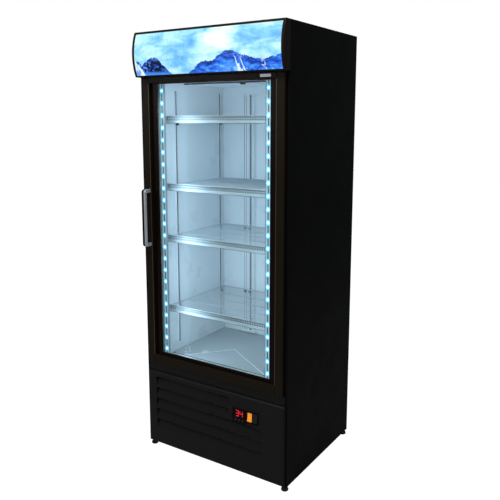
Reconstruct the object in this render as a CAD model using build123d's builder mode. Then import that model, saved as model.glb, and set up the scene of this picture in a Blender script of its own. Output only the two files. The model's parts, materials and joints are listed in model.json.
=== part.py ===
"""Upright glass door merchandiser: one hinged glass door, four wire shelves, a lit header and a
bottom-mounted refrigeration unit.

Millimetres. +X is the viewer's right when facing the door, +Y runs from the door to the back, +Z is up.
The origin lies on the floor, under the centre of the merchandiser's overall box.
"""
import math
import os
from build123d import *

os.makedirs("parts", exist_ok=True)

# ---------------------------------------------------------------- driving dimensions
overall_height = 1950
cabinet_width = 768
cabinet_depth = 620
header_reach = 54          # how far the header bulges in front of the cabinet
foot_height = 22
wall = 45                  # insulated wall, outer skin to liner
skin = 1.2                 # sheet steel of the outer shell
fit = 0.3                  # gap between pieces that move past each other

# ---------------------------------------------------------------- planes and levels
half_width = cabinet_width / 2
front = -(cabinet_depth - header_reach) / 2     # cabinet front plane
back = front + cabinet_depth
post = 12                                       # width of the black corner posts beside the door
inner_half = half_width - skin                  # inside of the side skins
liner_half = half_width - wall

door_bottom = 434
door_top = 1754
door_half = 368
door_front = front - 12
door_back = front + 19
jamb_front = front + 25                         # face that the door gasket rests on
jamb_back = front + 33
stile_width = 38
bottom_rail_height = 38
top_rail_height = 22
glass_half = 294                                # clear view through the door
glass_bottom = 490
glass_top = 1728
hinge_x = door_half - 14
hinge_y = door_front + 10
pin_radius = 4.5

header_bottom = 1758
kick_top = 388
kick_bottom = foot_height + 4
kick_front = front - 12
floor_level = 440
ceiling_level = 1800
liner_back = back - wall
shelf_levels = (1590, 1281, 1038, 698)          # top of each shelf's front rail
shelf_front = front + 90
shelf_back = front + 542
shelf_half = 326
front_pilaster_y = front + 183
rear_pilaster_y = front + 534
column_x = 167
foot_x, foot_inset = half_width - 16, 16
foot_places = ((-foot_x, front + foot_inset), (foot_x, front + foot_inset),
               (-foot_x, back - foot_inset), (foot_x, back - foot_inset))


def block(x, y, z, mode=Mode.ADD):
    """Rectangular block between pairs of limits, in the open BuildPart."""
    centre = ((x[0] + x[1]) / 2, (y[0] + y[1]) / 2, (z[0] + z[1]) / 2)
    with Locations(centre):
        Box(x[1] - x[0], y[1] - y[0], z[1] - z[0], mode=mode)


def patch(u, v, mode=Mode.ADD):
    """Rectangle between pairs of limits, in the open BuildSketch."""
    with Locations(((u[0] + u[1]) / 2, (v[0] + v[1]) / 2)):
        Rectangle(u[1] - u[0], v[1] - v[0], mode=mode)


def rod(start, direction, radius, length, mode=Mode.ADD):
    """Round bar from start along direction, in the open BuildPart."""
    with Locations(Plane(origin=start, z_dir=direction)):
        Cylinder(radius, length, align=(Align.CENTER, Align.CENTER, Align.MIN), mode=mode)


def both(low, high):
    """The same stretch on the left and on the right of the middle plane."""
    return ((-high, -low), (low, high))


def save(builder, name):
    builder.part.label = name
    export_step(builder.part, f"parts/{name}.step")


# ---------------------------------------------------------------- outer shell
rear_return = 20           # the side skins are folded inwards behind the back panels
foot_room = 20             # the corner posts are notched over the nuts of the feet


def side_panel(side, name):
    """Folded skin: the flat side, the corner post beside the door, and a rear return."""
    def across(low, high):
        return (side * low, side * high) if side > 0 else (side * high, side * low)

    with BuildPart() as panel:
        with BuildSketch(Plane.XY.offset(foot_height)):
            patch(across(inner_half, half_width), (front, back - skin))
            patch(across(half_width - post, half_width), (front, front + skin))
            patch(across(half_width - post, half_width - post + skin), (front, jamb_front))
            patch(across(half_width - rear_return, half_width), (back - 2 * skin, back - skin))
        extrude(amount=overall_height - skin - foot_height)
        block(across(half_width - post, inner_half), (front + skin, jamb_front),
              (foot_height, foot_height + foot_room), mode=Mode.SUBTRACT)
    save(panel, name)


side_panel(-1, "left_side_panel")
side_panel(1, "right_side_panel")

with BuildPart() as top_panel:
    lid_bottom = overall_height - skin
    block((-half_width, half_width), (front, back), (lid_bottom, overall_height))
    for flange in both(inner_half - skin, inner_half):
        block(flange, (jamb_front, back - 2 * skin), (lid_bottom - 15, lid_bottom))
save(top_panel, "top_panel")

rear_split = 395           # where the foamed back ends and the machine room begins
with BuildPart() as rear_panel:
    block((-half_width, half_width), (back - skin, back), (rear_split, lid_bottom))
save(rear_panel, "rear_panel")

inlet_x, inlet_z = 250, 120
inlet_flange = (54, 48)    # outer size of the power inlet's flange
screw_x = (-330, -110, 110, 330)
screw_z = 45
screw_radius = 2
grille_half = half_width - rear_return - fit
with BuildPart() as rear_grille:
    block((-grille_half, grille_half), (back - 2 * skin, back - skin),
          (foot_height + skin, rear_split - 1))
    with BuildSketch(Plane.XZ.offset(-back)):
        with Locations((0, 240)):
            with GridLocations(62, 18, 10, 10):
                SlotOverall(50, 6)
        with Locations((inlet_x, inlet_z)):
            Rectangle(inlet_flange[0] - 8, inlet_flange[1] - 8)
        with Locations([(x, screw_z) for x in screw_x]):
            Circle(screw_radius)
    extrude(amount=10, mode=Mode.SUBTRACT)
save(rear_grille, "rear_grille")

deck_top = foot_height + 1.5
foot_stud_radius = 5
nut_radius = 8
deck_back = back - 2 * skin
with BuildPart() as base_deck:
    block((-inner_half, inner_half), (front + skin, deck_back), (foot_height, deck_top))
    block((-inner_half, inner_half), (deck_back - 1.5, deck_back), (deck_top, deck_top + 25))
    block((-340, 340), (jamb_front, jamb_front + 1.5), (deck_top, deck_top + 25))
    for x, y in foot_places:
        rod((x, y, deck_top), (0, 0, 1), nut_radius, 10)
        rod((x, y, foot_height), (0, 0, 1), foot_stud_radius + 0.05, 20, mode=Mode.SUBTRACT)
    for x in screw_x:
        rod((x, back, screw_z), (0, -1, 0), screw_radius, 10, mode=Mode.SUBTRACT)
save(base_deck, "base_deck")

with BuildPart() as panel_screws:
    for x in screw_x:
        rod((x, back - skin, screw_z), (0, 1, 0), 4.5, skin)
        rod((x, back - skin, screw_z), (0, -1, 0), screw_radius, 6)
save(panel_screws, "panel_screws")

with BuildPart() as cord_inlet:
    width, height = inlet_flange
    block((inlet_x - width / 2, inlet_x + width / 2), (back - skin, back),
          (inlet_z - height / 2, inlet_z + height / 2))
    block((inlet_x - width / 2 + 4.2, inlet_x + width / 2 - 4.2), (back - 32, back - skin),
          (inlet_z - height / 2 + 4.2, inlet_z + height / 2 - 4.2))
    block((inlet_x - 14, inlet_x + 14), (back - 22, back), (inlet_z - 10, inlet_z + 10),
          mode=Mode.SUBTRACT)
    for x, z in ((-7, -2), (7, -2), (0, 4)):      # contact blades
        block((inlet_x + x - 1, inlet_x + x + 1), (back - 22, back - 5),
              (inlet_z + z - 2, inlet_z + z + 2))
save(cord_inlet, "cord_inlet")

# ---------------------------------------------------------------- insulated box
foam_top = 1850
foam_back = back - 2 * skin - 0.1
with BuildPart() as foam_insulation:
    block((-inner_half, inner_half), (jamb_back, foam_back), (rear_split + 1, foam_top))
    block((-liner_half - 1, liner_half + 1), (jamb_back, liner_back + 1),
          (floor_level - 2, ceiling_level + 1), mode=Mode.SUBTRACT)
save(foam_insulation, "foam_insulation")

seam = 0.1                 # hairline between neighbouring sheets and bars
with BuildPart() as liner_walls:
    for across in both(liner_half, liner_half + 1):
        block(across, (jamb_back, liner_back - seam), (floor_level, ceiling_level - seam))
    block((-liner_half - 1, liner_half + 1), (liner_back, liner_back + 1),
          (floor_level, ceiling_level - seam))
    block((-liner_half - 1, liner_half + 1), (jamb_back, liner_back + 1),
          (ceiling_level, ceiling_level + 1))
save(liner_walls, "liner_walls")

crown_x = -90              # the pressed floor rises to a low crown left of the middle
with BuildPart() as floor_pan:
    middle_y = (jamb_back + liner_back) / 2
    block((-liner_half - 1, liner_half + 1), (jamb_back, liner_back + 1),
          (floor_level - 2, floor_level))
    with BuildSketch(Plane((0, middle_y, floor_level))):
        Rectangle(2 * liner_half - 24, liner_back - jamb_back - 24)
    with BuildSketch(Plane((crown_x, middle_y, floor_level + 6))):
        Rectangle(12, 12)
    loft()
save(floor_pan, "floor_pan")

frame_opening = 300
sill_top = 462
head_bottom = 1734
with BuildPart() as front_frame:
    for across in both(frame_opening, inner_half):
        block(across, (jamb_front, jamb_back), (rear_split + 1, foam_top))
    for up in ((rear_split + 1, sill_top), (head_bottom, foam_top)):
        block((seam - frame_opening, frame_opening - seam), (jamb_front, jamb_back), up)
save(front_frame, "front_frame")

bracket_thick = 3
lower_bracket_top = door_bottom - 1.5
sill_rail_top = lower_bracket_top - bracket_thick
with BuildPart() as sill_rail:
    with BuildSketch(Plane.YZ.offset(post - half_width)):
        patch((front, jamb_front), (kick_top, sill_rail_top))
        patch((front + 1.5, jamb_front - 1.5), (kick_top + 1.5, sill_rail_top - 1.5),
              mode=Mode.SUBTRACT)
    extrude(amount=cabinet_width - 2 * post)
save(sill_rail, "sill_rail")

# ---------------------------------------------------------------- hinges
pin_length = 18
hinge_plate_x = (hinge_x - 24, half_width - post - 0.2)
upper_bracket_bottom = door_top + 1
with BuildPart() as upper_hinge_bracket:
    block(hinge_plate_x, (hinge_y - 8, jamb_front), (upper_bracket_bottom, header_bottom))
    rod((hinge_x, hinge_y, upper_bracket_bottom), (0, 0, -1), pin_radius, pin_length)
    fillet(edges().filter_by(Axis.Z).sort_by(Axis.Y)[:2], 5)
save(upper_hinge_bracket, "upper_hinge_bracket")

with BuildPart() as lower_hinge_bracket:
    block(hinge_plate_x, (hinge_y - 8, jamb_front), (sill_rail_top, lower_bracket_top))
    rod((hinge_x, hinge_y, lower_bracket_top), (0, 0, 1), pin_radius, pin_length)
    fillet(edges().filter_by(Axis.Z).sort_by(Axis.Y)[:2], 5)
save(lower_hinge_bracket, "lower_hinge_bracket")

# ---------------------------------------------------------------- interior fittings
slot_pitch = 25
with BuildPart() as side_pilasters:
    low, high = 480, 1705
    for y in (front_pilaster_y, rear_pilaster_y):
        for across in both(liner_half - 6, liner_half):
            block(across, (y - 9, y + 9), (low, high))
    with BuildSketch(Plane.YZ):
        for y in (front_pilaster_y, rear_pilaster_y):
            with Locations((y, (low + high) / 2)):
                with GridLocations(1, slot_pitch, 1, 48):
                    Rectangle(5, 13)
    extrude(amount=liner_half - 2, both=True, mode=Mode.SUBTRACT)
save(side_pilasters, "side_pilasters")

with BuildPart() as rear_columns:
    low, high = 446, 1699
    raised = 15
    for side in (-1, 1):
        with BuildSketch(Plane.XY.offset(low)):
            with BuildLine():
                x = side * column_x
                Polyline((x - 34, liner_back), (x - 26, liner_back - raised),
                         (x + 26, liner_back - raised), (x + 34, liner_back), close=True)
            make_face()
        extrude(amount=high - low)
    with BuildSketch(Plane.XZ.offset(-(liner_back - raised))):
        for side in (-1, 1):
            with Locations((side * (column_x - 6), (low + high) / 2)):
                with GridLocations(1, slot_pitch, 1, 48):
                    Rectangle(7, 15)
    extrude(amount=-6, mode=Mode.SUBTRACT)
save(rear_columns, "rear_columns")

wire_radius = 1.6
frame_wire_radius = 3
rail_height = 32
wire_pitch = 25
wire_level = -8            # wires below the top of the front rail
with BuildPart(mode=Mode.PRIVATE) as wire_shelf:
    length = shelf_back - shelf_front
    for x in (-shelf_half + 3, shelf_half - 3):
        rod((x, shelf_front - 1, wire_level - 3), (0, 1, 0), frame_wire_radius, length + 1)
    for share in (0.02, 0.33, 0.66, 0.95):
        rod((-shelf_half + 3, shelf_front + share * length, wire_level - 4), (1, 0, 0),
            frame_wire_radius, 2 * shelf_half - 6)
    for i in range(-12, 13):
        rod((i * wire_pitch, shelf_front - 1, wire_level), (0, 1, 0), wire_radius, length + 1)

for number, level in enumerate(shelf_levels, start=1):
    with BuildPart() as shelf:
        add(wire_shelf.part.moved(Location((0, 0, level))))
    save(shelf, f"shelf_{number}")

with BuildPart() as price_rails:
    for level in shelf_levels:
        block((-shelf_half, shelf_half), (shelf_front - 3, shelf_front - 1),
              (level - rail_height, level))
        block((-shelf_half, shelf_half), (shelf_front - 6, shelf_front), (level - 3, level))
        block((-shelf_half, shelf_half), (shelf_front - 6, shelf_front - 1),
              (level - rail_height, level - rail_height + 3))
save(price_rails, "price_rails")

with BuildPart() as shelf_clips:
    for level in shelf_levels:
        seat = level + wire_level - 3 - frame_wire_radius
        for y in (front_pilaster_y, rear_pilaster_y):
            for across in both(shelf_half - 8, liner_half - 6):
                block(across, (y - 7, y + 7), (seat - 4, seat))
            for across in both(liner_half - 9, liner_half - 6):
                block(across, (y - 7, y + 7), (seat - 20, seat - 4))
save(shelf_clips, "shelf_clips")

# ---------------------------------------------------------------- light strips beside the door
strip_places = (-287, 271)      # the right strip stands further in, clear of the hinge stile
strip_half = 11.5
strip_low, strip_high = 468, 1732
strip_back = front + 37
strip_face = front + 28
led_pitch = 54.5
with BuildPart() as light_channels:
    for x, jamb in zip(strip_places, (-frame_opening, frame_opening)):
        inner = x - math.copysign(strip_half + 1.5, x)
        block(sorted((inner, jamb)), (jamb_front, strip_back), (strip_low, strip_high))
        block((x - strip_half, x + strip_half), (jamb_front, strip_back - 2),
              (strip_low + 1, strip_high - 1), mode=Mode.SUBTRACT)
    block((strip_places[1] + strip_half + 1.5, frame_opening - 1.5), (jamb_front, strip_back - 2),
          (strip_low + 1, strip_high - 1), mode=Mode.SUBTRACT)
save(light_channels, "light_channels")

with BuildPart() as light_strips:
    for x in strip_places:
        block((x - strip_half + seam, x + strip_half - seam), (strip_face, strip_back - 2),
              (strip_low + 1, strip_high - 1))
        with BuildSketch(Plane.XZ.offset(-strip_face)):
            with Locations((x, (strip_low + strip_high) / 2)):
                with GridLocations(1, led_pitch, 1, 23):
                    Circle(6)
        extrude(amount=2)
save(light_strips, "light_strips")

# ---------------------------------------------------------------- evaporator under the ceiling
cover_level = 1738
cover_front = front + 250
cover_half = liner_half - 1
fan_y = front + 345
evaporator_fan_radius = 74
with BuildPart() as evaporator_cover:
    block((-cover_half, cover_half), (cover_front, liner_back - 2), (cover_level, cover_level + 1.5))
    block((-cover_half, cover_half), (cover_front, cover_front + 1.5),
          (cover_level, ceiling_level))
    rod((0, fan_y, cover_level - 5), (0, 0, 1), evaporator_fan_radius + 6, 10, mode=Mode.SUBTRACT)
    for radius in (22, 48, 74):
        with BuildSketch(Plane.XY.offset(cover_level)):
            with Locations((0, fan_y)):
                Circle(radius + 1.5)
                Circle(radius - 1.5, mode=Mode.SUBTRACT)
        extrude(amount=1.5)
    for spoke in ((2 * evaporator_fan_radius + 14, 3), (3, 2 * evaporator_fan_radius + 14)):
        with Locations((0, fan_y, cover_level + 0.75)):
            Box(spoke[0], spoke[1], 1.5)
    with BuildSketch(Plane.XZ.offset(-cover_front)):
        with Locations((0, (cover_level + ceiling_level) / 2)):
            with GridLocations(66, 14, 9, 3):
                SlotOverall(54, 7)
    extrude(amount=-1.5, mode=Mode.SUBTRACT)
save(evaporator_cover, "evaporator_cover")


def coil(width, depth, height, bend_count):
    """Finned block with end plates and return bends, centred, width along X, in the open part."""
    Box(width, depth, height)
    for side in (-1, 1):
        with Locations((side * (width / 2 + 1), 0, 0)):
            Box(2, depth + 6, height)
        with BuildSketch(Plane.YZ.offset(side * (width / 2 + 2))) as bends:
            with GridLocations(1, height / bend_count, 1, bend_count):
                SlotOverall(depth * 0.5, 8)
        extrude(bends.sketch, amount=side * 8)


with BuildPart(mode=Mode.PRIVATE) as small_coil:
    coil(560, 112, 48, 2)
with BuildPart() as evaporator_coil:
    add(small_coil.part.moved(Location((0, front + 502, 1772))))
save(evaporator_coil, "evaporator_coil")

with BuildPart() as evaporator_fan_motor:
    rod((0, fan_y, 1766), (0, 0, 1), 30, ceiling_level - 1766)
    rod((0, fan_y, 1745), (0, 0, 1), 3, 21)
    with Locations((0, fan_y, ceiling_level - 2)):
        Box(90, 30, 4)
save(evaporator_fan_motor, "evaporator_fan_motor")


def fan_blades(hub_radius, blade_radius, shaft_radius, height, count, pitch):
    """Axial fan about Z, from 0 up to its height, in the open BuildPart."""
    length = blade_radius - hub_radius + 4
    with PolarLocations(hub_radius - 4 + length / 2, count):
        Box(length, height * 1.6, 1.6, rotation=(pitch, 0, 0))
    rod((0, 0, -height / 2), (0, 0, 1), hub_radius, height)
    rod((0, 0, -height), (0, 0, 1), shaft_radius + 0.05, 2 * height, mode=Mode.SUBTRACT)


with BuildPart(mode=Mode.PRIVATE) as small_fan:
    fan_blades(15, evaporator_fan_radius - 3, 3, 14, 6, 30)
with BuildPart() as evaporator_fan:
    add(small_fan.part.moved(Location((0, fan_y, 1754))))
save(evaporator_fan, "evaporator_fan")

# ---------------------------------------------------------------- machine room
with BuildPart() as compressor:
    at = (205, front + 400)
    for dx, dy in ((-88, -60), (88, -60), (-88, 60), (88, 60)):
        rod((at[0] + dx, at[1] + dy, deck_top), (0, 0, 1), 10, 13)
    block((at[0] - 100, at[0] + 100), (at[1] - 72, at[1] + 72), (deck_top + 13, deck_top + 16))
    rod((at[0], at[1], deck_top + 16), (0, 0, 1), 76, 185)
    fillet(edges().filter_by(GeomType.CIRCLE).group_by(Axis.Z)[-1], 45)
    block((at[0] - 110, at[0] - 60), (at[1] - 30, at[1] + 30), (deck_top + 60, deck_top + 130))
save(compressor, "compressor")

condenser_x, condenser_z = -195, 200
with BuildPart(mode=Mode.PRIVATE) as large_coil:
    coil(280, 40, 300, 6)
with BuildPart() as condenser_coil:
    add(large_coil.part.moved(Location((condenser_x, front + 62, condenser_z))))
save(condenser_coil, "condenser_coil")

shroud_front = front + 85
motor_face = front + 122
condenser_fan_radius = 108
with BuildPart() as condenser_fan_motor:
    left, right = condenser_x - 150, condenser_x + 150
    block((left, right), (shroud_front, shroud_front + 2), (deck_top, condenser_z + 150))
    rod((condenser_x, shroud_front - 5, condenser_z), (0, 1, 0), condenser_fan_radius + 8, 12,
        mode=Mode.SUBTRACT)
    for x in (left, right - 3):
        block((x, x + 3), (shroud_front, motor_face + 66), (condenser_z - 12, condenser_z + 12))
    block((left, right), (motor_face + 63, motor_face + 66), (condenser_z - 12, condenser_z + 12))
    rod((condenser_x, motor_face, condenser_z), (0, 1, 0), 38, 63)
    rod((condenser_x, motor_face - 22, condenser_z), (0, 1, 0), 4, 22)
save(condenser_fan_motor, "condenser_fan_motor")

with BuildPart(mode=Mode.PRIVATE) as large_fan:
    fan_blades(22, condenser_fan_radius, 4, 18, 5, 28)
with BuildPart() as condenser_fan:
    add(large_fan.part.moved(Location((condenser_x, front + 107, condenser_z), (-90, 0, 0))))
save(condenser_fan, "condenser_fan")

drain_pan_x = (-320, -30)
drain_pan_y = (front + 350, front + 540)
with BuildPart() as drain_pan:
    block(drain_pan_x, drain_pan_y, (deck_top, deck_top + 45))
    offset(amount=-2, openings=faces().sort_by(Axis.Z)[-1])
save(drain_pan, "drain_pan")

# ---------------------------------------------------------------- kick panel and its controls
kick_half = 378
kick_skin = 1.5
kick_bevel = 6
louvre_left = -325
louvre_pitch = 52.5
louvre_height = 44
louvre_rights = (95, 95, 265, 265, 265)         # the upper two stop short of the controls
first_louvre_top = 363
controller_x, controller_z = (116, 188), (262, 326)
switch_x, switch_z = (191, 251), (272, 328)
panel_inside = kick_front + kick_skin
with BuildPart() as kick_panel:
    block((-kick_half, kick_half), (kick_front, front), (kick_bottom, kick_top))
    chamfer(faces().sort_by(Axis.Y)[0].edges(), kick_bevel)
    offset(amount=-kick_skin, openings=faces().sort_by(Axis.Y)[-1])
    for row, right_end in enumerate(louvre_rights):
        top = first_louvre_top - row * louvre_pitch
        bottom = top - louvre_height
        block((louvre_left, right_end), (kick_front, panel_inside), (bottom, top),
              mode=Mode.SUBTRACT)
        with BuildSketch(Plane.YZ.offset(louvre_left)):
            with BuildLine():
                Polyline((kick_front, bottom), (front - 1, top - 9), (front - 1, top - 14),
                         (panel_inside, bottom - 2), (kick_front, bottom - 2), close=True)
            make_face()
        extrude(amount=right_end - louvre_left)
        for end in (louvre_left - kick_skin, right_end):
            with BuildSketch(Plane.YZ.offset(end)):
                with BuildLine():
                    Polyline((kick_front, bottom - 2), (kick_front, top), (front - 1, top),
                             (front - 1, top - 14), (panel_inside, bottom - 2), close=True)
                make_face()
            extrude(amount=kick_skin)
    for across, up in ((controller_x, controller_z), (switch_x, switch_z)):
        block((across[0] + 3, across[1] - 3), (kick_front, panel_inside), (up[0] + 4, up[1] - 4),
              mode=Mode.SUBTRACT)
save(kick_panel, "kick_panel")

button_x = (134, 152, 170)
button_z = 274
button_half = 4
with BuildPart() as controller:
    block(controller_x, (kick_front - 2.5, kick_front), controller_z)
    fillet(edges().filter_by(Axis.Y), 3)
    block((controller_x[0] + 3, controller_x[1] - 3), (kick_front, kick_front + 40),
          (controller_z[0] + 4, controller_z[1] - 4))
    block((122, 182), (kick_front - 2.5, kick_front - 1.7), (286, 321), mode=Mode.SUBTRACT)
    for x in button_x:
        block((x - button_half - fit, x + button_half + fit), (kick_front - 2.5, kick_front + 4),
              (button_z - button_half - fit, button_z + button_half + fit), mode=Mode.SUBTRACT)
save(controller, "controller")

for x, name in zip(button_x, ("set_button", "down_button", "up_button")):
    with BuildPart() as button:
        block((x - button_half, x + button_half), (kick_front - 3.4, kick_front + 2),
              (button_z - button_half, button_z + button_half))
        fillet(faces().sort_by(Axis.Y)[0].edges(), 0.5)
    save(button, name)

rocker_places = ((207.5, "power_rocker"), (234.5, "light_rocker"))
rocker_z = 300
rocker_y = kick_front + 4
rocker_half = 11
rocker_tilt = 8
trunnion_radius = 1.5
with BuildPart() as switch_bezel:
    block(switch_x, (kick_front - 3, kick_front), switch_z)
    fillet(edges().filter_by(Axis.Y), 3)
    block((switch_x[0] + 3, switch_x[1] - 3), (kick_front, kick_front + 24),
          (switch_z[0] + 4, switch_z[1] - 4))
    for x, name in rocker_places:
        block((x - rocker_half - 0.4, x + rocker_half + 0.4), (kick_front - 3, kick_front + 16),
              (rocker_z - 21, rocker_z + 21), mode=Mode.SUBTRACT)
        rod((x - 13.2, rocker_y, rocker_z), (1, 0, 0), trunnion_radius + 0.05, 26.4,
            mode=Mode.SUBTRACT)
save(switch_bezel, "switch_bezel")

tilted = Vector(0, 1, 0).rotate(Axis.X, -rocker_tilt)      # both rockers rest switched on
for x, name in rocker_places:
    with BuildPart() as rocker:
        with BuildSketch(Plane((x - rocker_half, rocker_y, rocker_z), tilted, (1, 0, 0))):
            with BuildLine():
                Polyline((-8.5, 19), (-6.5, 0), (-8.5, -19), (4, -15), (4, 15), close=True)
            make_face()
        extrude(amount=2 * rocker_half)
        rod((x - 13, rocker_y, rocker_z), (1, 0, 0), trunnion_radius, 26)
    save(rocker, name)

# ---------------------------------------------------------------- header
header_inner = half_width - post
header_edge = 34           # reach of the header at its top and bottom edges
window_low, window_high = header_bottom + 6, overall_height - 10
panel_thick = 3


def header_section(inset, low, high):
    """Side profile of the header, flat at the cabinet and curved in front, in the open sketch."""
    with BuildLine() as outline:
        top = (front - header_edge + inset, overall_height)
        belly = (front - header_reach + inset, (header_bottom + overall_height) / 2)
        foot = (front - header_edge + inset, header_bottom)
        ThreePointArc(top, belly, foot)
        Polyline(foot, (front, header_bottom), (front, overall_height), top)
    make_face(outline.edges())
    patch((front - 100, front), (low, high), mode=Mode.INTERSECT)


with BuildPart() as header_frame:
    with BuildSketch(Plane.YZ.offset(-half_width)):
        header_section(0, header_bottom, overall_height)
    extrude(amount=cabinet_width)
    block((-header_inner, header_inner), (front - 100, front), (window_low, window_high),
          mode=Mode.SUBTRACT)
save(header_frame, "header_frame")

with BuildPart() as header_panel:
    with BuildSketch(Plane.YZ.offset(-header_inner)):
        header_section(1.5, window_low, window_high)
    extrude(amount=2 * header_inner)
    with BuildSketch(Plane.YZ.offset(-header_inner)):
        header_section(1.5 + panel_thick, window_low, window_high)
    extrude(amount=2 * header_inner, mode=Mode.SUBTRACT)
save(header_panel, "header_panel")

with BuildPart() as header_housing:
    with BuildSketch(Plane.YZ.offset(-header_inner)):
        patch((jamb_front - skin, jamb_front), (header_bottom, lid_bottom))
        patch((front, jamb_front), (header_bottom, header_bottom + skin))
        patch((front, jamb_front), (lid_bottom - skin, lid_bottom))
    extrude(amount=2 * header_inner)
save(header_housing, "header_housing")

with BuildPart() as header_light_bars:
    for z in (1805, 1895):
        block((-350, 350), (front + 12, jamb_front - skin), (z - 9, z + 9))
        with BuildSketch(Plane.XZ.offset(-(front + 12))):
            with Locations((0, z)):
                with GridLocations(48, 1, 14, 1):
                    Circle(5)
        extrude(amount=3)
save(header_light_bars, "header_light_bars")

# ---------------------------------------------------------------- door
groove = (front + 6, front + 18)               # the glass unit's edge sits in this groove
groove_depth = 8
glass_edge = 6
stile_inner = door_half - stile_width
opening_low = door_bottom + bottom_rail_height
opening_high = door_top - top_rail_height


def stile(side, name):
    """Grooved upright of the door; the hinge side has a bore for a pin at each end."""
    with BuildPart() as upright:
        with BuildSketch(Plane.XY.offset(door_bottom)):
            middle = side * (stile_inner + door_half) / 2
            with Locations((middle, (door_front + door_back) / 2)):
                Rectangle(stile_width, door_back - door_front)
            fillet(vertices().sort_by(Axis.Y)[:2], 4)
            with Locations((side * (stile_inner + groove_depth / 2), sum(groove) / 2)):
                Rectangle(groove_depth, groove[1] - groove[0], mode=Mode.SUBTRACT)
        extrude(amount=door_top - door_bottom)
        if side > 0:
            for z, direction in ((door_bottom, 1), (door_top, -1)):
                rod((hinge_x, hinge_y, z), (0, 0, direction), pin_radius + 0.05, 20,
                    mode=Mode.SUBTRACT)
    save(upright, name)


stile(-1, "left_stile")
stile(1, "right_stile")


def rail(low, high, groove_limits, name):
    """Grooved cross bar of the door."""
    with BuildPart() as bar:
        with BuildSketch(Plane.YZ.offset(-stile_inner)):
            patch((door_front, door_back), (low, high))
            patch(groove, groove_limits, mode=Mode.SUBTRACT)
        extrude(amount=2 * stile_inner)
    save(bar, name)


rail(opening_high, door_top, (opening_high, opening_high + groove_depth), "top_rail")
rail(door_bottom, opening_low, (opening_low - groove_depth, opening_low), "bottom_rail")

pane_half = stile_inner + glass_edge
pane_z = (opening_low - glass_edge, opening_high + glass_edge)
pane_thick = 3
with BuildPart() as glass_panes:
    for y in (groove[0], groove[1] - pane_thick):
        block((-pane_half, pane_half), (y, y + pane_thick), pane_z)
save(glass_panes, "glass_panes")

with BuildPart() as glass_spacer:
    between = (groove[0] + pane_thick, groove[1] - pane_thick)
    block((2 - pane_half, pane_half - 2), between, (pane_z[0] + 2, pane_z[1] - 2))
    block((14 - pane_half, pane_half - 14), between, (pane_z[0] + 14, glass_top),
          mode=Mode.SUBTRACT)
save(glass_spacer, "glass_spacer")

with BuildPart() as glass_bezel:
    block((-stile_inner, stile_inner), (groove[0] - 3, groove[0]), (opening_low, opening_high))
    block((-glass_half, glass_half), (groove[0] - 3, groove[0]), (glass_bottom, glass_top),
          mode=Mode.SUBTRACT)
save(glass_bezel, "glass_bezel")

gasket_half = 346
gasket_width = 13
with BuildPart() as door_gasket:
    squeezed = (door_back, jamb_front - fit)
    low, high = door_bottom + 8, door_top - 6
    block((-gasket_half, gasket_half), squeezed, (low, high))
    block((gasket_width - gasket_half, gasket_half - gasket_width), squeezed,
          (low + gasket_width, high - gasket_width), mode=Mode.SUBTRACT)
save(door_gasket, "door_gasket")

handle_x = -342
handle_z = (998, 1262)
handle_width, handle_thick, handle_reach = 20, 13, 40
with BuildPart() as handle:
    with BuildSketch(Plane.YZ.offset(handle_x - handle_width / 2)):
        patch((door_front - handle_reach, door_front), handle_z)
        fillet(vertices().group_by(Axis.X)[0], 14)
        patch((door_front - handle_reach + handle_thick, door_front),
              (handle_z[0] + 16, handle_z[1] - 16), mode=Mode.SUBTRACT)
    extrude(amount=handle_width)
    fillet(faces().sort_by(Axis.Y)[0].edges().filter_by(Axis.Z), 2)
save(handle, "handle")

with BuildPart() as badge_plate:
    block((255, 305), (door_front - 1.5, door_front), (1738, 1750))
    fillet(edges().filter_by(Axis.Y), 2)
save(badge_plate, "badge_plate")

# ---------------------------------------------------------------- levelling feet
foot_names = ("front_left_foot", "front_right_foot", "rear_left_foot", "rear_right_foot")
for (x, y), name in zip(foot_places, foot_names):
    with BuildPart() as foot:
        with BuildSketch(Plane.XZ):
            with BuildLine():
                Polyline((0, 0), (14, 0), (16, 2), (16, 8), (11, 13), (11, 19),
                         (foot_stud_radius, 19), (foot_stud_radius, 42), (0, 42), close=True)
            make_face()
        revolve(axis=Axis.Z)
    foot.part.label = name
    export_step(foot.part.moved(Location((x, y, 0))), f"parts/{name}.step")
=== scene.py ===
"""Glass door merchandiser: a black enamelled cabinet with one hinged glass door, four wire shelves,
a lit header and the refrigeration unit under the floor. Metres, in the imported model's frame.
"""
import json
import math

import bpy
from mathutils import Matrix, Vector


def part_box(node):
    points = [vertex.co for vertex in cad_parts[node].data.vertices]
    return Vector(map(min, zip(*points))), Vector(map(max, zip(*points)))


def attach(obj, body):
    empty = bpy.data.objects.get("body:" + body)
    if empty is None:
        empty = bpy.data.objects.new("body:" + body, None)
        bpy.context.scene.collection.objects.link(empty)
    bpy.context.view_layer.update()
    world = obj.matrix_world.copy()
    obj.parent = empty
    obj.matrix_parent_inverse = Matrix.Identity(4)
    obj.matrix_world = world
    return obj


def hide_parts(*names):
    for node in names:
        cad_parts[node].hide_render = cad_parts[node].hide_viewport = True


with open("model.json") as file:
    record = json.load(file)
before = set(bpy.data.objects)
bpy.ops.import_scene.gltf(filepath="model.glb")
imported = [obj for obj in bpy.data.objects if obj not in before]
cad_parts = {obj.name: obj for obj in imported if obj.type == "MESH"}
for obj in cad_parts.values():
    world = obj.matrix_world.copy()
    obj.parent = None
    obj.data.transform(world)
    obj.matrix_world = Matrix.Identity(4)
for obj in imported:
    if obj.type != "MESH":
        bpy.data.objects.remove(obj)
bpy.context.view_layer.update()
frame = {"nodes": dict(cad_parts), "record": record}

# ------------------------------------------------------------------ studio
# A white studio: the viewer stands to the right of the door, a little below the header. Soft lamps
# hang in front and to the sides, and the floor is a pale sheet that burns out to white.


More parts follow.
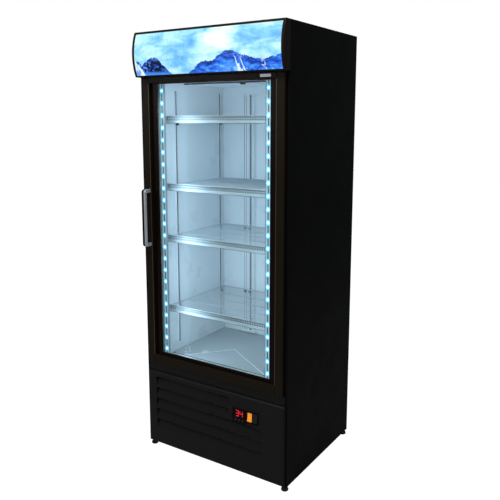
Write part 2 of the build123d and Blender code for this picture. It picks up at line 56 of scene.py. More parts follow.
def node(tree, kind, inputs=None, **settings):
    """Adds a shader node, gives it its settings, then sets or links its inputs."""
    made = tree.nodes.new("ShaderNode" + kind)
    for name, value in settings.items():
        setattr(made, name, value)
    for key, value in (inputs or {}).items():
        if isinstance(value, bpy.types.NodeSocket):
            tree.links.new(value, made.inputs[key])
        else:
            made.inputs[key].default_value = value
    return made


def soft_lamp(name, place, target, size, power, colour=(1, 1, 1)):
    """A rectangular lamp that faces its target and isn't itself seen."""
    lamp = bpy.data.lights.new(name, "AREA")
    lamp.shape = "RECTANGLE"
    lamp.size, lamp.size_y = size
    lamp.energy = power
    lamp.color = colour
    holder = bpy.data.objects.new(name, lamp)
    bpy.context.collection.objects.link(holder)
    holder.location = place
    holder.rotation_euler = (Vector(target) - Vector(place)).to_track_quat("-Z", "Y").to_euler()
    holder.visible_camera = False


viewer = bpy.data.cameras.new("viewer")
viewer.lens = 45.03
viewer.shift_x = 0.002
viewer.shift_y = -0.06
viewer_stand = bpy.data.objects.new("viewer", viewer)
bpy.context.collection.objects.link(viewer_stand)
viewer_stand.location = (1.5898, -2.4236, 1.5728)
look_down, look_left = 9.11, 33.09
viewer_stand.rotation_euler = (math.radians(90 - look_down), 0, math.radians(look_left))
bpy.context.scene.camera = viewer_stand

studio = bpy.data.worlds.new("studio")
bpy.context.scene.world = studio
studio.use_nodes = True
sky = studio.node_tree
sky.nodes.clear()
seen = node(sky, "LightPath").outputs["Is Camera Ray"]
backdrop = node(sky, "Background", {"Color": (1, 1, 1, 1), "Strength": 1.0})
ambient = node(sky, "Background", {"Color": (0.9, 0.95, 1, 1), "Strength": 0.16})
both_skies = node(sky, "MixShader", {0: seen, 1: ambient.outputs[0], 2: backdrop.outputs[0]})
node(sky, "OutputWorld", {"Surface": both_skies.outputs[0]})

bpy.ops.object.select_all(action="DESELECT")
bpy.ops.mesh.primitive_circle_add(vertices=96, radius=14, fill_type="NGON")
floor = bpy.context.object
floor.name = "studio_floor"
floor_finish = bpy.data.materials.new("studio_floor")
floor_finish.use_nodes = True
paper = floor_finish.node_tree
paper.nodes.clear()
sheet = node(paper, "BsdfDiffuse", {"Color": (0.3, 0.3, 0.3, 1)})
burnt_out = node(paper, "Emission", {"Color": (1, 1, 1, 1), "Strength": 1.0})
on_film = node(paper, "LightPath").outputs["Is Camera Ray"]
either = node(paper, "MixShader", {0: on_film, 1: sheet.outputs[0], 2: burnt_out.outputs[0]})
shown = node(paper, "AddShader", {0: either.outputs[0], 1: sheet.outputs[0]})
node(paper, "OutputMaterial", {"Surface": shown.outputs[0]})
floor.data.materials.append(floor_finish)

bpy.context.scene.view_settings.view_transform = "Standard"
soft_lamp("key_lamp", (-2.2, -3.2, 2.6), (0, 0, 1.0), (1.6, 2.2), 22)
soft_lamp("side_lamp", (3.2, -0.6, 2.2), (0.3, 0, 1.0), (1.2, 2.4), 7)
soft_lamp("top_lamp", (0.2, -1.7, 3.9), (0, 0, 0.9), (1.4, 1.0), 46)

# ------------------------------------------------------------------ outer shell
# The sides and the lid are 1.2 mm sheet steel, folded and riveted round the foam, and powder
# coated satin black.


def effect(name, inputs, outputs):
    """A node group for an effect that several finishes share, with named sockets."""
    made = bpy.data.node_groups.new(name, "ShaderNodeTree")
    for socket, value in inputs.items():
        kind = "NodeSocketVector" if isinstance(value, tuple) else "NodeSocketFloat"
        made.interface.new_socket(socket, in_out="INPUT", socket_type=kind).default_value = value
    for socket, kind in outputs.items():
        made.interface.new_socket(socket, in_out="OUTPUT", socket_type=kind)
    return made, made.nodes.new("NodeGroupInput").outputs, made.nodes.new("NodeGroupOutput").inputs


def figure(tree, operation, first, second=0.0, clamp=False):
    """The value of one Math node."""
    return node(tree, "Math", {0: first, 1: second}, operation=operation, use_clamp=clamp).outputs[0]


def blended(tree, share, first, second):
    """The colour between two colours at a share."""
    mixed = node(tree, "Mix", {0: share, 6: first, 7: second}, data_type="RGBA")
    return mixed.outputs[2]


# Grain: the fine relief of a sprayed or moulded skin, and slow patches where it is duller.
grain, given, put = effect("surface_grain", {"Size": 0.0015}, {"Height": "NodeSocketFloat",
                                                               "Patches": "NodeSocketFloat"})
at = node(grain, "TexCoord").outputs["Object"]
finer = node(grain, "TexNoise", {"Vector": at, "Detail": 2.0,
                                 "Scale": figure(grain, "DIVIDE", 1.0, given["Size"])})
slower = node(grain, "TexNoise", {"Vector": at, "Scale": 7.0, "Detail": 4.0, "Roughness": 0.6})
grain.links.new(finer.outputs[0], put["Height"])
grain.links.new(slower.outputs[0], put["Patches"])

# Edge marks: 1 at a corner, broken up by noise; partly real rub marks, partly a painted edge highlight.
wear_and_highlight, given, put = effect("edge_wear_and_highlight", {"Width": 0.0015, "Amount": 0.5}, {"Mask": "NodeSocketFloat"})
rounded = node(wear_and_highlight, "Bevel", {"Radius": given["Width"]}, samples=4).outputs[0]
flat = node(wear_and_highlight, "NewGeometry").outputs["Normal"]
turn = node(wear_and_highlight, "VectorMath", {0: rounded, 1: flat}, operation="DOT_PRODUCT").outputs["Value"]
at = node(wear_and_highlight, "TexCoord").outputs["Object"]
broken = node(wear_and_highlight, "TexNoise", {"Vector": at, "Scale": 90.0, "Detail": 3.0}).outputs[0]
corner = figure(wear_and_highlight, "MULTIPLY", figure(wear_and_highlight, "SUBTRACT", 1.0, turn), 9.0, clamp=True)
rubbed_and_lit = figure(wear_and_highlight, "MULTIPLY", corner, figure(wear_and_highlight, "MULTIPLY", broken, given["Amount"]), clamp=True)
wear_and_highlight.links.new(rubbed_and_lit, put["Mask"])

# Dust: a thin grey film on faces that look upwards.
dust, given, put = effect("dust", {"Amount": 0.3}, {"Mask": "NodeSocketFloat"})
upright = node(dust, "SeparateXYZ", {0: node(dust, "NewGeometry").outputs["Normal"]}).outputs["Z"]
at = node(dust, "TexCoord").outputs["Object"]
drift = node(dust, "TexNoise", {"Vector": at, "Scale": 25.0, "Detail": 5.0}).outputs[0]
lying = figure(dust, "MULTIPLY", figure(dust, "MAXIMUM", upright, 0.0), drift)
dust.links.new(figure(dust, "MULTIPLY", lying, given["Amount"], clamp=True), put["Mask"])


def shade(name, slot=None, **values):
    """A material with its Principled shader; the values are set on the shader's own sockets."""
    made = bpy.data.materials.new(name + "_finish")
    made["slot"] = slot or name
    made.use_nodes = True
    shader = made.node_tree.nodes["Principled BSDF"]
    for socket, value in values.items():
        shader.inputs[socket.replace("_", " ")].default_value = value
    return made, made.node_tree, shader


def coated(name, colour, worn_and_lit, gloss, size, depth, wear_and_highlight_amount=0.4, dusty=0.0, level=0.5, slot=None):
    """Paint or plastic: a colour that shows another one at its corners (real rub marks, and a painted
    edge highlight where lighter), grain and patches.
    """
    made, tree, shader = shade(name, slot, Specular_IOR_Level=level)
    skin = node(tree, "Group", {"Size": size}, node_tree=grain).outputs
    mask = node(tree, "Group", {"Amount": wear_and_highlight_amount}, node_tree=wear_and_highlight).outputs["Mask"]
    tone = blended(tree, mask, (*colour, 1), (*worn_and_lit, 1))
    if dusty:
        film = node(tree, "Group", {"Amount": dusty}, node_tree=dust).outputs["Mask"]
        tone = blended(tree, film, tone, (0.16, 0.15, 0.14, 1))
    tree.links.new(tone, shader.inputs["Base Color"])
    rough = node(tree, "MapRange", {"Value": skin["Patches"], "From Min": 0.3, "From Max": 0.7,
                                    "To Min": gloss - 0.06, "To Max": gloss + 0.06}).outputs[0]
    tree.links.new(rough, shader.inputs["Roughness"])
    relief = node(tree, "Bump", {"Height": skin["Height"], "Strength": 0.5, "Distance": depth})
    tree.links.new(relief.outputs[0], shader.inputs["Normal"])
    return made


home = {name: body for body, names in frame["record"]["behaviour"]["bodies"].items() for name in names}


def only(*pieces):
    """Selects these objects and nothing else, and makes the first one active."""
    bpy.ops.object.select_all(action="DESELECT")
    for piece in pieces:
        piece.select_set(True)
    bpy.context.view_layer.objects.active = pieces[0]


def settle(piece, name, finish, body, *stands_for):
    """Applies the piece's place and modifiers, gives it its finish, and fixes it to its body."""
    only(piece)
    bpy.ops.object.transform_apply(location=True, rotation=True, scale=True)
    for modifier in list(piece.modifiers):
        bpy.ops.object.modifier_apply(modifier=modifier.name)
    bpy.ops.object.shade_smooth_by_angle(angle=math.radians(32))
    even = piece.modifiers.new("even_normals", "WEIGHTED_NORMAL")
    even.keep_sharp = True
    bpy.ops.object.modifier_apply(modifier="even_normals")
    piece.name = piece.data.name = name
    piece.data.materials.clear()
    piece.data.materials.append(finish)
    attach(piece, body)
    if stands_for:
        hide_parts(*stands_for)


def rounding(piece, width, steps=2, angle=30):
    """A Bevel modifier that rounds edges sharper than an angle."""
    bevel = piece.modifiers.new("rounding", "BEVEL")
    bevel.width = width
    bevel.segments = steps
    bevel.limit_method = "ANGLE"
    bevel.angle_limit = math.radians(angle)


def merged_copy(solid, name):
    """A copy of a CAD node, with its triangles merged into faces."""
    piece = bpy.data.objects.new(name, frame["nodes"][solid].data.copy())
    bpy.context.collection.objects.link(piece)
    only(piece)
    bpy.ops.object.mode_set(mode="EDIT")
    bpy.ops.mesh.select_all(action="SELECT")
    bpy.ops.mesh.remove_doubles(threshold=0.00001)
    bpy.ops.mesh.dissolve_limited(angle_limit=math.radians(0.5))
    bpy.ops.object.mode_set(mode="OBJECT")
    return piece


def soften(name, finish, width=0.0006, steps=2):
    """Gives a copy of a CAD node rounded edges and its finish."""
    piece = merged_copy(name, name)
    rounding(piece, width, steps)
    settle(piece, name + "_finished", finish, home[name], name)


black_steel = coated("black_steel", (0.0042, 0.0042, 0.0044), (0.02, 0.02, 0.021), 0.45, 0.0012,
                     0.00004, level=0.05)
for name in ("left_side_panel", "right_side_panel", "top_panel"):
    soften(name, black_steel, 0.001)

# ------------------------------------------------------------------ base tray and feet
# A folded tray of galvanised sheet carries the machinery. A galvanised sheet closes the back, with
# a slotted cover below it that is screwed to the tray. Four levelling feet with moulded pads screw
# into nuts pressed into the tray.


def metal(name, colour, rough, size, depth, dusty=0.15, stretch=(1, 1, 1), metallic=1.0):
    """Bare or plated metal: fine lines or spangle in its tone, roughness and relief."""
    made, tree, shader = shade(name, Metallic=metallic)
    at = node(tree, "TexCoord").outputs["Object"]
    along = node(tree, "Mapping", {"Vector": at, "Scale": stretch}).outputs[0]
    lines = node(tree, "TexNoise", {"Vector": along, "Scale": 1 / size, "Detail": 3.0}).outputs[0]
    film = node(tree, "Group", {"Amount": dusty}, node_tree=dust).outputs["Mask"]
    darker = tuple(0.82 * part for part in colour)
    tone = blended(tree, lines, (*darker, 1), (*colour, 1))
    tree.links.new(blended(tree, film, tone, (0.3, 0.29, 0.27, 1)), shader.inputs["Base Color"])
    dull = node(tree, "MapRange", {"Value": lines, "From Min": 0.3, "From Max": 0.7,
                                   "To Min": rough - 0.08, "To Max": rough + 0.08}).outputs[0]
    tree.links.new(dull, shader.inputs["Roughness"])
    relief = node(tree, "Bump", {"Height": lines, "Strength": 0.4, "Distance": depth})
    tree.links.new(relief.outputs[0], shader.inputs["Normal"])
    return made


galvanised = metal("galvanised", (0.56, 0.58, 0.6), 0.42, 0.012, 0.00002)
foot_rubber = coated("foot_rubber", (0.01, 0.01, 0.01), (0.03, 0.03, 0.03), 0.6, 0.0006, 0.00005,
                     dusty=0.5, level=0.3)
soften("base_deck", galvanised, 0.0004, 1)
soften("rear_panel", galvanised, 0.0008)
soften("rear_grille", galvanised, 0.0004, 1)
for name in ("front_left_foot", "front_right_foot", "rear_left_foot", "rear_right_foot"):
    soften(name, foot_rubber, 0.0015, 3)

# ------------------------------------------------------------------ insulated box
# Polyurethane foam fills the space between the shell and a liner of white prepainted aluminium
# sheet. The front frame closes the foam round the door opening. The floor pan is creased from its
# corners to a low crown, so that water runs off it.

insulation = coated("insulation", (0.75, 0.62, 0.33), (0.8, 0.7, 0.45), 0.75, 0.004, 0.0006)
liner_white = coated("liner_white", (0.78, 0.83, 0.86), (0.86, 0.89, 0.9), 0.3, 0.004, 0.00003,
                     wear_and_highlight_amount=0.15)
soften("foam_insulation", insulation, 0.002)
soften("liner_walls", liner_white, 0.0003, 1)
# The floor pan takes a darker copy of the liner's white, as painted shade.
floor_shaded_white = coated("floor_shaded_white", (0.32, 0.36, 0.385), (0.6, 0.62, 0.63), 0.22, 0.004, 0.00003,
                     wear_and_highlight_amount=0.15, slot="liner_white")
soften("floor_pan", floor_shaded_white, 0.0008)
soften("front_frame", liner_white, 0.0008)


def wire(start, end, radius):
    """A straight wire between two points, with its ends rounded over."""
    start, end = Vector(start), Vector(end)
    bpy.ops.object.select_all(action="DESELECT")
    bpy.ops.mesh.primitive_cylinder_add(
        vertices=8, radius=radius, depth=(end - start).length, location=(start + end) / 2,
        rotation=(end - start).to_track_quat("Z", "Y").to_euler())
    made = bpy.context.object
    bpy.ops.object.transform_apply(location=True, rotation=True, scale=True)
    rounding(made, radius * 0.5, 1, 60)
    bpy.ops.object.modifier_apply(modifier="rounding")
    return made


def joined(*pieces):
    """Joins pieces into the first one's mesh."""
    only(*pieces)
    bpy.ops.object.join()
    return bpy.context.object


# Wires in the liner's brighter white along the floor's creases are a painted highlight on the crease
# lines.
low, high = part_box("floor_pan")
crown_x, crown_drop = -0.09, 0.0004
corner_inset, corner_drop = 0.014, 0.0062
crease_radius = 0.0012
crown = Vector((crown_x, (low.y + high.y) / 2, high.z - crown_drop))
crease_highlights = [wire((x, low.y + corner_inset, high.z - corner_drop), crown, crease_radius)
           for x in (low.x + corner_inset, high.x - corner_inset)]
settle(joined(*crease_highlights), "floor_crease_highlights", liner_white, "cabinet")

# ------------------------------------------------------------------ sill and hinges
# A folded rail closes the front between the door and the machine room. The door hangs on two
# plates whose pins run in its right stile.

enamel_black = coated("enamel_black", (0.006, 0.006, 0.006), (0.03, 0.03, 0.03), 0.32, 0.001, 0.00003,
                      dusty=0.1, level=0.3)
# A lighter copy of the black steel for the sill rail and kick panel: painted light on the front faces.
front_lit_black = coated("front_lit_black", (0.0085, 0.0085, 0.0088), (0.03, 0.03, 0.03), 0.48, 0.0012, 0.00004,
                    level=0.2, slot="black_steel")
soften("sill_rail", front_lit_black, 0.0012, 3)
for name in ("upper_hinge_bracket", "lower_hinge_bracket"):
    soften(name, enamel_black, 0.0005)

# ------------------------------------------------------------------ uprights inside
# White slotted strips on the side walls and two raised slotted channels on the back wall, folded
# from prepainted sheet, carry the shelves on dark clips and hooks. Dark strips behind the slots are
# painted shade.


def block(low, high, width, steps=2):
    """A bar or plate between two corners, with its edges rounded."""
    bpy.ops.object.select_all(action="DESELECT")
    bpy.ops.mesh.primitive_cube_add(size=1, location=(Vector(low) + Vector(high)) / 2)
    made = bpy.context.object
    made.scale = Vector(high) - Vector(low)
    bpy.ops.object.transform_apply(location=True, rotation=True, scale=True)
    rounding(made, width, steps)
    bpy.ops.object.modifier_apply(modifier="rounding")
    return made


def repeat(piece, count, step, merge=False):
    """Copies a piece along a step, into the same mesh."""
    only(piece)
    rows = piece.modifiers.new("repeat", "ARRAY")
    rows.count = count
    rows.use_relative_offset = False
    rows.use_constant_offset = True
    rows.constant_offset_displace = step
    rows.use_merge_vertices = merge
    rows.merge_threshold = 0.00005
    bpy.ops.object.modifier_apply(modifier=rows.name)


def cut(piece, place, normal):
    """Cuts every face of a piece by a plane, and keeps both sides."""
    only(piece)
    bpy.ops.object.mode_set(mode="EDIT")
    bpy.ops.mesh.select_all(action="SELECT")
    bpy.ops.mesh.bisect(plane_co=place, plane_no=normal)
    bpy.ops.object.mode_set(mode="OBJECT")


def slotted_sheet(corner, cell, slot, count, step, thickness, turn=0.0):
    """An upright sheet with a row of slots: one cell is modelled facing -Y, repeated and turned."""
    width, height = cell
    left, right, low, high = slot
    bpy.ops.object.select_all(action="DESELECT")
    bpy.ops.mesh.primitive_plane_add(size=1, location=(width / 2, 0, height / 2),
                                     rotation=(math.radians(90), 0, 0))
    made = bpy.context.object
    made.scale = (width, height, 1)
    bpy.ops.object.transform_apply(location=True, rotation=True, scale=True)
    for z in (low, high):
        cut(made, (0, 0, z), (0, 0, 1))
    for x in (left, right):
        cut(made, (x, 0, 0), (1, 0, 0))
    for polygon in made.data.polygons:
        place = polygon.center
        polygon.select = low < place.z < high and left < place.x < right
    bpy.ops.object.mode_set(mode="EDIT")
    bpy.ops.mesh.select_mode(type="FACE")
    bpy.ops.mesh.delete(type="FACE")
    bpy.ops.object.mode_set(mode="OBJECT")
    repeat(made, count, step, merge=True)
    sheet = made.modifiers.new("sheet", "SOLIDIFY")
    sheet.thickness = thickness
    sheet.offset = 0
    bpy.ops.object.modifier_apply(modifier="sheet")
    made.rotation_euler.z = turn
    made.location = corner
    bpy.ops.object.transform_apply(location=True, rotation=True, scale=True)
    return made


black_plastic = coated("black_plastic", (0.005, 0.0045, 0.004), (0.03, 0.03, 0.03), 0.5, 0.0007,
                       0.00006, level=0.08)

shelves = ("shelf_1", "shelf_2", "shelf_3", "shelf_4")
slot_pitch = 0.0125
low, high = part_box("side_pilasters")
strip_width, strip_depth, sheet_metal = 0.018, 0.006, 0.001
shade_strip_inset = 0.002
# A slot's left, right, bottom and top within its cell.
side_slot = (0.0022, 0.0158, 0.002, 0.0108)
column_slot = (0.003, 0.015, 0.0022, 0.0105)
slot_count = int((high.z - low.z) / slot_pitch)
clip_places = (low.y + strip_width / 2, high.y - strip_width / 2)
white_parts = []
shade_strips_hooks_and_clips = []
for side in (-1, 1):
    wall = high.x * side
    inner = wall - side * strip_depth
    for y in (low.y, high.y - strip_width):
        corner = (inner + side * sheet_metal / 2, y if side < 0 else y + strip_width, low.z)
        white_parts.append(slotted_sheet(
            corner, (strip_width, slot_pitch), side_slot, slot_count, (0, 0, slot_pitch), sheet_metal,
            -side * math.radians(90)))
        for edge in (y, y + strip_width - sheet_metal):
            sides = sorted((inner, wall))
            white_parts.append(block((sides[0], edge, low.z),
                                     (sides[1], edge + sheet_metal, high.z), 0.0003, 1))
        # A dark strip behind the slots, painted shade in the strip's channel.
        sides = sorted((wall - side * 0.002, wall - side * 0.0005))
        shade_strips_hooks_and_clips.append(block((sides[0], y + shade_strip_inset, low.z),
                                (sides[1], y + strip_width - shade_strip_inset, high.z), 0.0003, 1))
settle(joined(*white_parts), "slotted_pilasters", liner_white, "cabinet", "side_pilasters")

soften("rear_columns", liner_white, 0.0006, 2)
low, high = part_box("rear_columns")
column_x, column_foot, foot_height = 0.167, 0.042, 0.012
column_strip, column_slot_x = 0.018, 0.159
dark_line_places, dark_line_half = (0.1965, 0.1845), 0.0008
hook_places, hook_half = (column_slot_x, 0.19), 0.006
clip_x, clip_half_width, clip_half_depth = 0.3275, 0.0055, 0.006
slot_count = int((high.z - low.z) / slot_pitch)
strips = []
for side in (-1, 1):
    left = side * column_slot_x - column_strip / 2
    strips.append(slotted_sheet((left, low.y - 0.0009, low.z), (column_strip, slot_pitch),
                                column_slot, slot_count, (0, 0, slot_pitch), sheet_metal))
    # A dark strip behind the column's slots, painted shade.
    shade_strips_hooks_and_clips.append(block(
        (left + shade_strip_inset, low.y - 0.0005, low.z + shade_strip_inset),
        (left + column_strip - shade_strip_inset, low.y + 0.001, high.z - shade_strip_inset), 0.0002, 1))
    # Two dark lines run up the outer part of each column.
    for place in dark_line_places:
        dark_line = side * place
        shade_strips_hooks_and_clips.append(block((dark_line - dark_line_half, low.y - 0.0004, low.z + shade_strip_inset),
                                (dark_line + dark_line_half, low.y + 0.001, high.z - shade_strip_inset), 0.0002, 1))
    for shelf in shelves:
        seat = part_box(shelf)[0].z
        for place in hook_places:
            hook = side * place
            shade_strips_hooks_and_clips.append(block((hook - hook_half, low.y - 0.012, seat - 0.016),
                                    (hook + hook_half, low.y, seat - 0.006), 0.0015))
        clip = side * clip_x
        for y in clip_places:
            shade_strips_hooks_and_clips.append(block(
                (clip - clip_half_width, y - clip_half_depth, seat - 0.028),
                (clip + clip_half_width, y + clip_half_depth, seat - 0.016), 0.0015))
    foot = side * column_x
    strips.append(block((foot - column_foot, low.y - 0.004, low.z),
                        (foot + column_foot, low.y + 0.004, low.z + foot_height), 0.002))
settle(joined(*strips), "column_strips", liner_white, "cabinet")
settle(joined(*shade_strips_hooks_and_clips), "slot_shade_hooks_and_clips", black_plastic, "cabinet")

# ------------------------------------------------------------------ wire shelves
# Each shelf is a grid of steel wire, resistance welded on a loop of thicker wire with three cross
# bars, and dipped in white plastic. Its wires lie 12.5 mm apart.


def wire_loop(low, high, corner, radius):
    """A closed loop of wire with rounded corners, lying flat between two corners."""
    middle = (Vector(low) + Vector(high)) / 2
    size = Vector(high) - Vector(low)
    bpy.ops.object.select_all(action="DESELECT")
    bpy.ops.mesh.primitive_plane_add(size=1, location=middle)
    made = bpy.context.object
    made.scale = (size.x, size.y, 1)
    bpy.ops.object.transform_apply(location=True, rotation=True, scale=True)
    bpy.ops.object.mode_set(mode="EDIT")
    bpy.ops.mesh.select_all(action="SELECT")
    bpy.ops.mesh.bevel(offset=corner, segments=5, affect="VERTICES")
    bpy.ops.mesh.delete(type="ONLY_FACE")
    bpy.ops.object.mode_set(mode="OBJECT")
    bpy.ops.object.convert(target="CURVE")
    made = bpy.context.object
    made.data.bevel_depth = radius
    made.data.bevel_resolution = 2
    bpy.ops.object.convert(target="MESH")
    return bpy.context.object


shelf_white = coated("shelf_white", (0.5, 0.56, 0.6), (0.3, 0.32, 0.33), 0.3, 0.002, 0.00002,
                     wear_and_highlight_amount=0.2)
wire_pitch = 0.0125
thin, thick = 0.0013, 0.003
loop_corner = 0.02
first_bar, bar_pitch, bar_count = 0.13, 0.1, 3
for shelf in shelves:
    low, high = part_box(shelf)
    count = int((high.x - low.x - 4 * thick) / wire_pitch / 2)
    level = high.z - thin
    grid = wire((-count * wire_pitch, low.y, level), (-count * wire_pitch, high.y - thick, level), thin)
    repeat(grid, 2 * count + 1, (wire_pitch, 0, 0))
    under = level - thin - thick
    loop = wire_loop((low.x + thick, low.y + thick, under), (high.x - thick, high.y - thick, under),
                     loop_corner, thick)
    bars = wire((low.x + thick, low.y + first_bar, under), (high.x - thick, low.y + first_bar, under),
                thick * 0.8)
    repeat(bars, bar_count, (0, bar_pitch, 0))
    settle(joined(loop, grid, bars), shelf + "_wires", shelf_white, "cabinet", shelf)

# ------------------------------------------------------------------ price rails and clips
# A slotted rail hooks over each shelf's front and holds a plain price strip under the slots. Dark grey
# strips behind its slots and along its folds are painted shade. Dark steel clips in the uprights carry
# the shelves.

low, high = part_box("price_rails")
rail_height, hook_rise, rail_sheet = 0.032, 0.0064, 0.0014
strip_foot, strip_top, fold = 0.0035, 0.0105, 0.003
rail_white = coated("rail_white", (0.42, 0.48, 0.51), (0.3, 0.32, 0.33), 0.4, 0.002, 0.00002,
                    wear_and_highlight_amount=0.2, slot="shelf_white")
rail_shade_grey = coated("rail_shade_grey", (0.09, 0.12, 0.145), (0.2, 0.22, 0.23), 0.5, 0.001, 0.00002,
                   level=0.2, slot="shelf_white")
price_pieces = []
shaded_pieces = []
for shelf in shelves:
    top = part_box(shelf)[1].z + hook_rise
    foot = top - rail_height
    cells = round((high.x - low.x) / wire_pitch)
    cell = ((high.x - low.x) / cells, rail_height - 0.001)
    price_pieces.append(slotted_sheet((low.x, low.y + 0.004, foot), cell,
                                      (0.0025, 0.01, 0.0115, rail_height - 0.0035), cells,
                                      (cell[0], 0, 0), rail_sheet))
    price_pieces.append(block((low.x, low.y + 0.0005, top - fold), (high.x, high.y, top), 0.001))
    price_pieces.append(block((low.x, low.y, foot), (high.x, high.y - 0.001, foot + fold), 0.001))
    price_pieces.append(block((low.x, low.y + 0.001, foot + strip_foot),
                              (high.x, low.y + 0.0032, foot + strip_top), 0.0006))
    # Painted shade: behind the slots, under the rail, and just below its top fold.
    shaded_pieces.append(block((low.x, low.y + 0.0055, foot + strip_top),
                               (high.x, low.y + 0.0065, top - fold), 0.0003, 1))
    shaded_pieces.append(block((low.x, low.y + 0.0008, foot - 0.0018),
                               (high.x, high.y - 0.002, foot + 0.0002), 0.0004, 1))
    shaded_pieces.append(block((low.x, low.y + 0.0012, top - 0.0045),
                               (high.x, low.y + 0.0032, top - fold), 0.0003, 1))
settle(joined(*price_pieces), "slotted_price_rails", rail_white, "cabinet", "price_rails")
settle(joined(*shaded_pieces), "rail_painted_shade", rail_shade_grey, "cabinet")

soften("shelf_clips", enamel_black, 0.0006, 2)

# ------------------------------------------------------------------ light strips beside the door
# A white channel on each jamb holds a board of light emitting diodes, 54.5 mm apart under clear
# lenses. A white sill strip runs between the channels, with a dark strip behind it as painted shade.

strips_low, strips_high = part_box("light_strips")
led_pitch = 0.0545
led_count = 23
board_half, lens_radius = 0.0113, 0.006
painted_halo_reach, track_half, track_gap = 0.02, 0.003, 0.0115
strip_middle = (strips_low.z + strips_high.z) / 2
left_strip, right_strip = strips_low.x + 0.0115, strips_high.x - 0.0115
half_span = (right_strip - left_strip) / 2

led_white, tree, shader = shade("led_white", Roughness=0.35, Emission_Strength=3.0)
at = node(tree, "SeparateXYZ", {0: node(tree, "TexCoord").outputs["Object"]}).outputs
steps_up = figure(tree, "DIVIDE", figure(tree, "SUBTRACT", at["Z"], strip_middle), led_pitch)
offset_up = figure(tree, "MULTIPLY", figure(tree, "SUBTRACT", figure(
    tree, "FRACT", figure(tree, "ADD", steps_up, 100.5)), 0.5), led_pitch)
from_middle = figure(tree, "ABSOLUTE", figure(tree, "SUBTRACT", at["X"], left_strip + half_span))
offset_across = figure(tree, "SUBTRACT", from_middle, half_span)
away = figure(tree, "SQRT", figure(tree, "ADD", figure(tree, "MULTIPLY", offset_up, offset_up),
                                   figure(tree, "MULTIPLY", offset_across, offset_across)))
# Round each diode the emission paints a cyan halo, and the board glows faintly between them: painted
# light beside the diodes' own cores.
diodes_and_painted_halo = node(tree, "ValToRGB", {0: figure(tree, "DIVIDE", away, painted_halo_reach)})
diodes_and_painted_halo.color_ramp.elements[0].color = (1.0, 1.0, 1.0, 1)
diodes_and_painted_halo.color_ramp.elements[0].position = 0.15
diodes_and_painted_halo.color_ramp.elements[1].color = (0.05, 0.08, 0.1, 1)
diodes_and_painted_halo.color_ramp.elements[1].position = 0.8
for place, colour in ((0.27, (0.12, 0.33, 0.38, 1)), (0.36, (0.004, 0.21, 0.33, 1)),
                      (0.62, (0.0, 0.14, 0.24, 1))):
    diodes_and_painted_halo.color_ramp.elements.new(place).color = colour
line = figure(tree, "LESS_THAN", figure(tree, "ABSOLUTE", offset_across), track_half)
between = figure(tree, "GREATER_THAN", away, track_gap)
track = figure(tree, "MULTIPLY", line, between)
glowing = blended(tree, track, diodes_and_painted_halo.outputs[0], (0.006, 0.02, 0.04, 1))
tree.links.new(glowing, shader.inputs["Emission Color"])
board = node(tree, "TexNoise", {"Vector": node(tree, "TexCoord").outputs["Object"], "Scale": 400.0})
plain = blended(tree, board.outputs[0], (0.34, 0.4, 0.44, 1), (0.4, 0.46, 0.5, 1))
tree.links.new(blended(tree, track, plain, (0.03, 0.05, 0.07, 1)), shader.inputs["Base Color"])

bpy.ops.object.select_all(action="DESELECT")
bpy.ops.mesh.primitive_uv_sphere_add(segments=12, ring_count=6, radius=lens_radius)
lens = bpy.context.object
lens.location = (left_strip, strips_low.y + 0.002, strip_middle - (led_count - 1) / 2 * led_pitch)
lens.scale = (1, 0.32, 1)
bpy.ops.object.transform_apply(location=True, rotation=True, scale=True)
repeat(lens, led_count, (0, 0, led_pitch))
repeat(lens, 2, (2 * half_span, 0, 0))
boards = []
for strip in (left_strip, right_strip):
    boards.append(block((strip - board_half, strips_low.y + 0.002, strips_low.z),
                        (strip + board_half, strips_high.y, strips_high.z), 0.0006))
settle(joined(*boards, lens), "light_strip_boards", led_white, "cabinet", "light_strips")

soften("light_channels", rail_white, 0.0004, 1)

lip_left, lip_right = left_strip + 0.014, right_strip - 0.014
lip_foot, lip_top = 0.462, 0.4835
frame_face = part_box("front_frame")[0].y
lip = block((lip_left, frame_face + 0.0015, lip_foot), (lip_right, frame_face + 0.0085, lip_top), 0.001)
settle(lip, "sill_lip", rail_white, "cabinet")
# A dark strip behind the sill strip, painted shade.
lip_shade = block((lip_left, frame_face + 0.009, lip_foot),
                 (lip_right, frame_face + 0.017, lip_top - 0.001), 0.001)
settle(lip_shade, "sill_lip_shade", black_plastic, "cabinet")

# The diodes' light inside the cabinet.
cool_light = (0.66, 0.83, 1.0)
lamp_x, lamp_size = 0.19, (0.1, 1.22)
for side, power in ((-1, 2.1), (1, 0.3)):
    soft_lamp(f"strip_light_{side}", (side * lamp_x, strips_low.y - 0.004, strip_middle),
              (side * 0.05, 0.25, strip_middle), lamp_size, power, cool_light)
soft_lamp("cabinet_light", (0, strips_high.y + 0.02, 1.70), (0, 0.12, 1.0), (0.5, 0.03), 0.3,
          cool_light)

# ------------------------------------------------------------------ evaporator under the ceiling
# A pressed white cover with a dark edging and latch at its front hides a finned coil. A fan draws
# air up through the cover's round grille and blows it out of the slots at the front.

